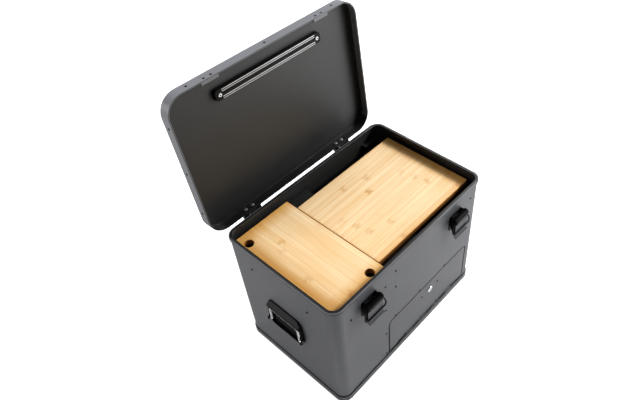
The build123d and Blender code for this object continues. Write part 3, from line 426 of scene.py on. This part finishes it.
# painted shade: one within the sockets of the screws, whose middles the look gives as spots across its axis
def socketShadeMask(tree, where, look):
    keep = tuple(0.0 if axis == look["axis"] else 1.0 for axis in "XYZ")
    flat = vectorCalc(tree, "MULTIPLY", where, keep)
    nearest = 1.0
    for spot in look["spots"]:
        away = vectorCalc(tree, "LENGTH", vectorCalc(tree, "SUBTRACT", flat, spot))
        nearest = calc(tree, "MINIMUM", nearest, away)
    return remap(tree, nearest, look["socket"], look["socket"] - metalBasics["socketFade"])


def makeMetal(name, look):
    material, tree, shader, where = startMaterial(name)
    basics = metalBasics
    brush = useGroup(tree, brushing, Vector=vectorCalc(tree, "MULTIPLY", where, look["brush"]))
    wear = useGroup(tree, edgeWear, Vector=where, Radius=look["edge"], Amount=basics["wear"])
    patches = remap(tree, noiseOf(tree, where, **basics["patches"]), *basics["patchRange"])
    base = mixColour(tree, product(tree, patches, look["tarnish"]), look["colour"], look["dull"])
    # painted shade in crevices
    crevice = remap(tree, hollowOf(tree, look["crevice"]), *basics["creviceRange"])
    base = mixColour(tree, crevice, base, basics["creviceShadeColour"])
    base = mixColour(tree, wear["Mask"], base, basics["wornColour"])
    # painted shade in the screws' sockets
    if "spots" in look:
        base = mixColour(tree, socketShadeMask(tree, where, look), base, basics["holeShade"])
    # painted shade along the rails' grooves
    for middle in look.get("grooves", ()):
        away = calc(tree, "ABSOLUTE", calc(tree, "SUBTRACT", axesOf(tree, where)["Z"], middle))
        dark = remap(tree, away, look["grooveHalf"], look["grooveCore"])
        base = mixColour(tree, dark, base, basics["holeShade"])
    feed(tree, shader.inputs["Base Color"], base)
    shader.inputs["Metallic"].default_value = 1.0
    feed(tree, shader.inputs["Roughness"], calc(tree, "ADD", brush["Gloss"], look["rough"], clamp=True))
    feed(tree, shader.inputs["Normal"], bumpOf(tree, brush["Height"], look["relief"], wear["Normal"]))
    return material


# the sockets lie in the middle of the screws' heads (m)
barScrews = dict(head=0.0050, socket=0.0024)
barLow, barHigh = nodeBox("knife_bar_screws")
barMiddle = (barLow.z + barHigh.z) / 2
barSpots = [(barLow.x + barScrews["head"], 0, barMiddle), (barHigh.x - barScrews["head"], 0, barMiddle)]
hingeScrews = dict(head=0.0055, pitch=0.023, socket=0.0025)
hingeLow, hingeHigh = nodeBox("hinge_screws")
outerScrew = hingeHigh.x - hingeScrews["head"]
hingeSpots = [(side * x, (hingeLow.y + hingeHigh.y) / 2, 0)
              for side in (-1, 1) for x in (outerScrew, outerScrew - hingeScrews["pitch"])]
# each knife rail has a groove down its middle, which gets painted shade (m)
railGroove = dict(inset=0.00325, half=0.0018, core=0.0014)
railLow, railHigh = nodeBox("knife_rails")

# brush tells how fine the lines are along each axis (per m), and crevice how far the painted crevice shade
# reaches (m)
screwSteel = dict(colour=(0.72, 0.72, 0.71), dull=(0.38, 0.37, 0.36), rough=0.28, tarnish=0.4,
                  brush=(900, 900, 120), relief=0.000008, edge=0.0004, crevice=0.006)
metals = {
    "boltSteel": screwSteel,
    "barScrewSteel": dict(screwSteel, axis="Y", spots=barSpots, socket=barScrews["socket"]),
    "hingeScrewSteel": dict(screwSteel, axis="Z", spots=hingeSpots, socket=hingeScrews["socket"]),
    "railSteel": dict(colour=(0.46, 0.46, 0.46), dull=(0.30, 0.30, 0.29), rough=0.36, tarnish=0.3,
                      brush=(40, 2500, 2500), relief=0.000006, edge=0.0003, crevice=0.004,
                      grooves=(railLow.z + railGroove["inset"], railHigh.z - railGroove["inset"]),
                      grooveHalf=railGroove["half"], grooveCore=railGroove["core"]),
    "rodSteel": dict(colour=(0.66, 0.66, 0.66), dull=(0.42, 0.41, 0.40), rough=0.22, tarnish=0.3,
                     brush=(1200, 1200, 60), relief=0.000006, edge=0.0003, crevice=0.0010),
    "springSteel": dict(colour=(0.50, 0.50, 0.50), dull=(0.30, 0.29, 0.28), rough=0.32, tarnish=0.4,
                        brush=(500, 500, 500), relief=0.000005, edge=0.0002, crevice=0.0010),
    "lockChrome": dict(colour=(0.78, 0.78, 0.78), dull=(0.55, 0.55, 0.54), rough=0.14, tarnish=0.3,
                       brush=(700, 700, 700), relief=0.000003, edge=0.0004, crevice=0.0015),
}
finishes = {name: makeCoat(name, look) for name, look in coats.items()}
finishes.update({name: makeMetal(name, look) for name, look in metals.items()})


# laminated bamboo: the grain runs along X of the vector that goes in (lengths in m)
bambooLook = dict(
    strip=0.0195, swayDepth=0.003, seamRange=(0.035, 0.0), seamStrength=0.30, seamRelief=0.8,
    sway=dict(factors=(3.0, 3.0, 3.0), detail=1.0),
    streaks=dict(factors=(3.5, 110.0, 110.0), detail=3.0, roughness=0.55, distortion=0.3),
    streakRange=(0.36, 0.70),
    fibres=dict(factors=(7.0, 420.0, 420.0), detail=3.0, roughness=0.6),
    fibreRange=(0.50, 0.80), fibreStrength=0.55, fibreRelief=0.6, fibreGloss=0.14,
    haze=dict(scale=6.0, detail=2.0, roughness=0.5), hazeRange=(0.35, 0.70), hazeStrength=0.25,
    toneStrength=0.45, streakShift=(7.0, 0.37),
    pale=(0.95, 0.72, 0.43), honey=(0.84, 0.53, 0.23), amber=(0.64, 0.32, 0.09),
    brown=(0.33, 0.14, 0.03), cream=(0.97, 0.79, 0.52),
)
# the cane's knots: how far apart on a strip, how long, how ragged, and on how many strips they are strong
knotLook = dict(spacing=0.24, length=0.012, core=0.2, raggedness=5.0, strength=0.75, faintest=0.05,
                ragged=dict(factors=(90.0, 170.0, 170.0), detail=4.0, roughness=0.6),
                luckRange=(0.35, 0.95), luckSpread=13.0, luckShift=37.3)


# a number from 0 to 1 that stays the same along each strip
def stripLuck(tree, stripId):
    node = addNode(tree, "ShaderNodeTexWhiteNoise", noise_dimensions="1D")
    feed(tree, node.inputs["W"], stripId)
    return node.outputs[0]


# short ragged blotches across a strip
def knotMask(tree, look, along, stripId, moved):
    luck = stripLuck(tree, calc(tree, "ADD", stripId, look["luckShift"]))
    turn = product(tree, luck, look["luckSpread"])
    place = calc(tree, "ADD", calc(tree, "DIVIDE", along, look["spacing"]), turn)
    distance = calc(tree, "ABSOLUTE", calc(tree, "SUBTRACT", calc(tree, "FRACT", place), 0.5))
    reach = look["length"] / look["spacing"]
    ragged = stretchedNoise(tree, moved, **look["ragged"])
    near = swing(tree, ragged, reach * look["raggedness"], distance)
    blotch = remap(tree, near, reach, reach * look["core"], smooth=True)
    return product(tree, blotch, remap(tree, luck, *look["luckRange"], outLow=look["faintest"]))


def makeBambooGrain(look, knots):
    tree, ins, outs = newGroup(
        "bambooGrain",
        [("Vector", "Vector", None), ("Strip", "Float", 0.02), ("Seed", "Float", 0.0)],
        [("Color", "Color"), ("Gloss", "Float"), ("Height", "Float")],
    )
    place = axesOf(tree, ins["Vector"])
    sway = stretchedNoise(tree, ins["Vector"], **look["sway"])
    stripPlace = calc(tree, "DIVIDE", swing(tree, sway, look["swayDepth"], place["Y"]), ins["Strip"])
    stripId = calc(tree, "ADD", calc(tree, "FLOOR", stripPlace), ins["Seed"])
    stripShare = calc(tree, "FRACT", stripPlace)
    tone = stripLuck(tree, stripId)
    # each strip shows its own stretch of the fibres and the broader streaks
    offset = addNode(tree, "ShaderNodeCombineXYZ")
    alongShift, acrossShift = look["streakShift"]
    feed(tree, offset.inputs["X"], product(tree, tone, alongShift))
    feed(tree, offset.inputs["Y"], product(tree, stripId, acrossShift))
    moved = vectorCalc(tree, "ADD", ins["Vector"], offset.outputs[0])
    fibres = stretchedNoise(tree, moved, **look["fibres"])
    streaks = stretchedNoise(tree, moved, **look["streaks"])
    haze = noiseOf(tree, ins["Vector"], **look["haze"])
    knotty = product(tree, knotMask(tree, knots, place["X"], stripId, moved), knots["strength"])
    toSeam = calc(tree, "MINIMUM", stripShare, calc(tree, "SUBTRACT", 1.0, stripShare))
    seams = remap(tree, toSeam, *look["seamRange"])
    fibrous = remap(tree, fibres, *look["fibreRange"], outHigh=look["fibreStrength"])
    hazy = remap(tree, haze, *look["hazeRange"], outHigh=look["hazeStrength"])
    body = mixColour(tree, remap(tree, streaks, *look["streakRange"]), look["pale"], look["honey"])
    body = mixColour(tree, fibrous, body, look["amber"])
    body = mixColour(tree, product(tree, tone, look["toneStrength"]), body, look["honey"])
    body = mixColour(tree, hazy, body, look["cream"])
    body = mixColour(tree, knotty, body, look["amber"])
    body = mixColour(tree, product(tree, seams, look["seamStrength"]), body, look["brown"])
    feed(tree, outs["Color"], body)
    feed(tree, outs["Gloss"], swing(tree, fibres, look["fibreGloss"]))
    raised = product(tree, fibres, look["fibreRelief"])
    feed(tree, outs["Height"], calc(tree, "SUBTRACT", raised, product(tree, seams, look["seamRelief"])))
    return tree


bambooGrain = makeBambooGrain(bambooLook, knotLook)
boardLook = dict(edge=0.0012, wear=0.5, rough=0.54, shine=0.4, relief=0.00006,
                 pores=dict(scale=1400.0, detail=2.0, roughness=0.6), poreRange=(0.4, 0.7),
                 endPale=(0.50, 0.30, 0.13), endDark=(0.30, 0.15, 0.05), endRange=(0.5, 0.9),
                 endStrength=0.75,
                 sideShadeColour=(0.26, 0.11, 0.025), sideRange=(0.7, 0.2), sideStrength=0.85,
                 underWallShadeTint=(0.84, 0.62, 0.30), underWallShadeReach=0.055, underWallShadeRange=(1.0, 0.84))


# turn swings the grain about Z (degrees), and seed picks the strips
def makeBoard(name, look, turn, seed):
    material, tree, shader, where = startMaterial(name)
    mapping = addNode(tree, "ShaderNodeMapping")
    feed(tree, mapping.inputs["Vector"], where)
    mapping.inputs["Rotation"].default_value = (0, 0, math.radians(turn))
    grain = useGroup(tree, bambooGrain, Vector=mapping.outputs[0], Strip=bambooLook["strip"], Seed=seed)
    wear = useGroup(tree, edgeWear, Vector=where, Radius=look["edge"], Amount=look["wear"])
    facing = addNode(tree, "ShaderNodeTexCoord").outputs["Normal"]
    turned = addNode(tree, "ShaderNodeVectorRotate", rotation_type="Z_AXIS")
    feed(tree, turned.inputs["Vector"], facing)
    turned.inputs["Angle"].default_value = math.radians(turn)
    sides = axesOf(tree, turned.outputs[0])
    # sawn ends have pores and are darker than the long faces, and all the upright sides get a painted shade
    # that makes them browner
    sawn = remap(tree, calc(tree, "ABSOLUTE", sides["X"]), *look["endRange"])
    pores = remap(tree, noiseOf(tree, where, **look["pores"]), *look["poreRange"])
    endGrain = mixColour(tree, pores, look["endPale"], look["endDark"])
    colour = mixColour(tree, product(tree, sawn, look["endStrength"]), grain["Color"], endGrain)
    upright = remap(tree, calc(tree, "ABSOLUTE", sides["Z"]), *look["sideRange"])
    colour = mixColour(tree, product(tree, upright, look["sideStrength"]), colour, look["sideShadeColour"])
    # painted shade: the wood turns amber where the board lies close under a wall
    shadedUnderWall = mixColour(tree, 1.0, colour, look["underWallShadeTint"], "MULTIPLY")
    near = remap(tree, hollowOf(tree, look["underWallShadeReach"], samples=12), *look["underWallShadeRange"])
    feed(tree, shader.inputs["Base Color"], mixColour(tree, near, colour, shadedUnderWall))
    feed(tree, shader.inputs["Roughness"], calc(tree, "ADD", grain["Gloss"], look["rough"]))
    shader.inputs["Specular IOR Level"].default_value = look["shine"]
    feed(tree, shader.inputs["Normal"], bumpOf(tree, grain["Height"], look["relief"], wear["Normal"]))
    return material


finishes["bambooSmall"] = makeBoard("bambooSmall", boardLook, turn=90, seed=3.0)
finishes["bambooLarge"] = makeBoard("bambooLarge", boardLook, turn=0, seed=61.0)
print("finishes made:", len(finishes))

# which pieces wear which finish
dress = {
    "wallCoat": ["body_shell"],
    "flapCoat": ["front_flap"],
    "lidCoat": ["lid_shell"],
    "profileCoat": ["rim_profile", "base_profile", "lid_edge_strip"],
    "innerCoat": ["floor_pan", "divider_panel", "left_ledge", "right_ledge", "front_ledge", "cross_plate",
                  "compartment_shelf", "hinge_brackets", "lid_hinge_leaves", "flap_hinge_leaf",
                  "hinge_strip"],
    "catchCoat": ["latch_catches"],
    "rivetBlack": ["divider_rivets", "shelf_rivets", "ledge_screws", "hinge_rivets", "latch_rivets",
                   "handle_rivets", "lid_rivets", "catch_rivets", "flap_rivets", "latch_pins"],
    "latchBlack": ["left_latch_base", "right_latch_base"],
    "leverBlack": ["left_latch_lever", "right_latch_lever"],
    "dishBlack": ["left_handle_dish", "right_handle_dish"],
    "wireBlack": ["left_latch_bail", "right_latch_bail"],
    "rodSteel": ["left_handle_bow", "right_handle_bow", "hinge_pins", "flap_hinge_pin"],
    "gripRubber": ["left_handle_grip", "right_handle_grip"],
    "springSteel": ["left_handle_spring", "right_handle_spring"],
    "boltSteel": ["hinge_nuts"],
    "hingeScrewSteel": ["hinge_screws"],
    "barScrewSteel": ["knife_bar_screws"],
    "barPlastic": ["knife_bar"],
    "railSteel": ["knife_rails"],
    "lockChrome": ["lock_body", "lock_nut", "lock_plug", "lock_cam", "lock_cam_nut"],
    "bambooSmall": ["small_board"],
    "bambooLarge": ["large_board"],
}
for finishName, names in dress.items():
    for nodeName in names:
        mesh = cadNodes[nodeName].data
        mesh.materials.clear()
        mesh.materials.append(finishes[finishName])
print("CAD pieces dressed:", sum(len(names) for names in dress.values()))

# white paper that glows a little for the camera, so that it burns out to white but keeps a shadow (m)
floorLook = dict(reach=9.0, drop=0.0005, fibre=dict(scale=900.0, detail=2.0), fibreRange=(0.3, 0.7),
                 dark=(0.88, 0.88, 0.88), light=(0.91, 0.91, 0.91), rough=0.9, shine=0.1, glow=0.58)


def makeFloorPaper(look):
    material, tree, shader, where = startMaterial("floorPaper")
    fibre = remap(tree, noiseOf(tree, where, **look["fibre"]), *look["fibreRange"])
    feed(tree, shader.inputs["Base Color"], mixColour(tree, fibre, look["dark"], look["light"]))
    shader.inputs["Roughness"].default_value = look["rough"]
    shader.inputs["Specular IOR Level"].default_value = look["shine"]
    glow = addNode(tree, "ShaderNodeEmission")
    glow.inputs["Color"].default_value = (1, 1, 1, 1)
    seen = addNode(tree, "ShaderNodeLightPath").outputs["Is Camera Ray"]
    feed(tree, glow.inputs["Strength"], product(tree, seen, look["glow"]))
    both = addNode(tree, "ShaderNodeAddShader")
    feed(tree, both.inputs[0], shader.outputs[0])
    feed(tree, both.inputs[1], glow.outputs[0])
    feed(tree, tree.nodes["Material Output"].inputs["Surface"], both.outputs[0])
    return material


def makeFloor(look):
    reach = look["reach"]
    mesh = bpy.data.meshes.new("floor")
    corners = [(-reach, -reach, 0), (reach, -reach, 0), (reach, reach, 0), (-reach, reach, 0)]
    mesh.from_pydata(corners, [], [(0, 1, 2, 3)])
    mesh.materials.append(makeFloorPaper(look))
    floor = bpy.data.objects.new("floor", mesh)
    bpy.context.scene.collection.objects.link(floor)
    floor.location.z = -look["drop"]


# area lamps aimed at a height above the middle of the footprint (m, W)
lamps = {
    "frontRight": dict(place=(2.3, -1.5, 2.0), aim=0.3, size=(0.5, 0.5), power=118),
    "rightBack": dict(place=(2.2, 1.0, 1.8), aim=0.3, size=(1.2, 1.6), power=25),
    "leftBack": dict(place=(-2.2, 1.8, 1.4), aim=0.3, size=(1.8, 1.6), power=74),
    "rightLow": dict(place=(2.6, -2.2, 0.9), aim=0.2, size=(2.4, 1.6), power=84),
}


def addLamp(name, settings):
    data = bpy.data.lights.new(name, "AREA")
    data.shape = "RECTANGLE"
    data.size, data.size_y = settings["size"]
    data.energy = settings["power"]
    lamp = bpy.data.objects.new(name, data)
    bpy.context.scene.collection.objects.link(lamp)
    lamp.location = settings["place"]
    ray = Vector((0, 0, settings["aim"])) - Vector(settings["place"])
    lamp.rotation_euler = ray.to_track_quat("-Z", "Y").to_euler()


# the white room: soft light for the object, full white for the camera
roomLook = dict(light=0.22, seen=1.0)


def makeRoom(look):
    world = bpy.data.worlds.new("studio")
    bpy.context.scene.world = world
    world.use_nodes = True
    tree = world.node_tree
    sky = tree.nodes["Background"]
    sky.inputs["Color"].default_value = (1, 1, 1, 1)
    seen = addNode(tree, "ShaderNodeLightPath").outputs["Is Camera Ray"]
    feed(tree, sky.inputs["Strength"], remap(tree, seen, 0.0, 1.0, look["light"], look["seen"]))


# place and nearest in m, angles in degrees, lens and sensor in mm, shift in image widths
cameraView = dict(place=(-0.754219, -0.743648, 1.530431), azimuth=47.018, elevation=45.132, roll=-2.493,
                  lens=33.258, sensor=36.0, shift=(-0.07683, -0.01388), nearest=0.01)


def makeCamera(view):
    azimuth, elevation, roll = (math.radians(view[k]) for k in ("azimuth", "elevation", "roll"))
    ahead = Vector((math.sin(azimuth) * math.cos(elevation), math.cos(azimuth) * math.cos(elevation),
                    -math.sin(elevation)))
    right = ahead.cross(Vector((0, 0, 1))).normalized()
    up = right.cross(ahead)
    tiltedRight = right * math.cos(roll) + up * math.sin(roll)
    tiltedUp = up * math.cos(roll) - right * math.sin(roll)
    data = bpy.data.cameras.new("camera")
    data.sensor_width = view["sensor"]
    data.lens = view["lens"]
    data.shift_x, data.shift_y = view["shift"]
    data.clip_start = view["nearest"]
    camera = bpy.data.objects.new("camera", data)
    bpy.context.scene.collection.objects.link(camera)
    turn = Matrix((tiltedRight, tiltedUp, -ahead)).transposed().to_4x4()
    camera.matrix_world = Matrix.Translation(Vector(view["place"])) @ turn
    bpy.context.scene.camera = camera


makeFloor(floorLook)
for lampName, settings in lamps.items():
    addLamp(lampName, settings)
makeRoom(roomLook)
makeCamera(cameraView)
bpy.context.scene.view_settings.view_transform = "Standard"
print("studio ready")
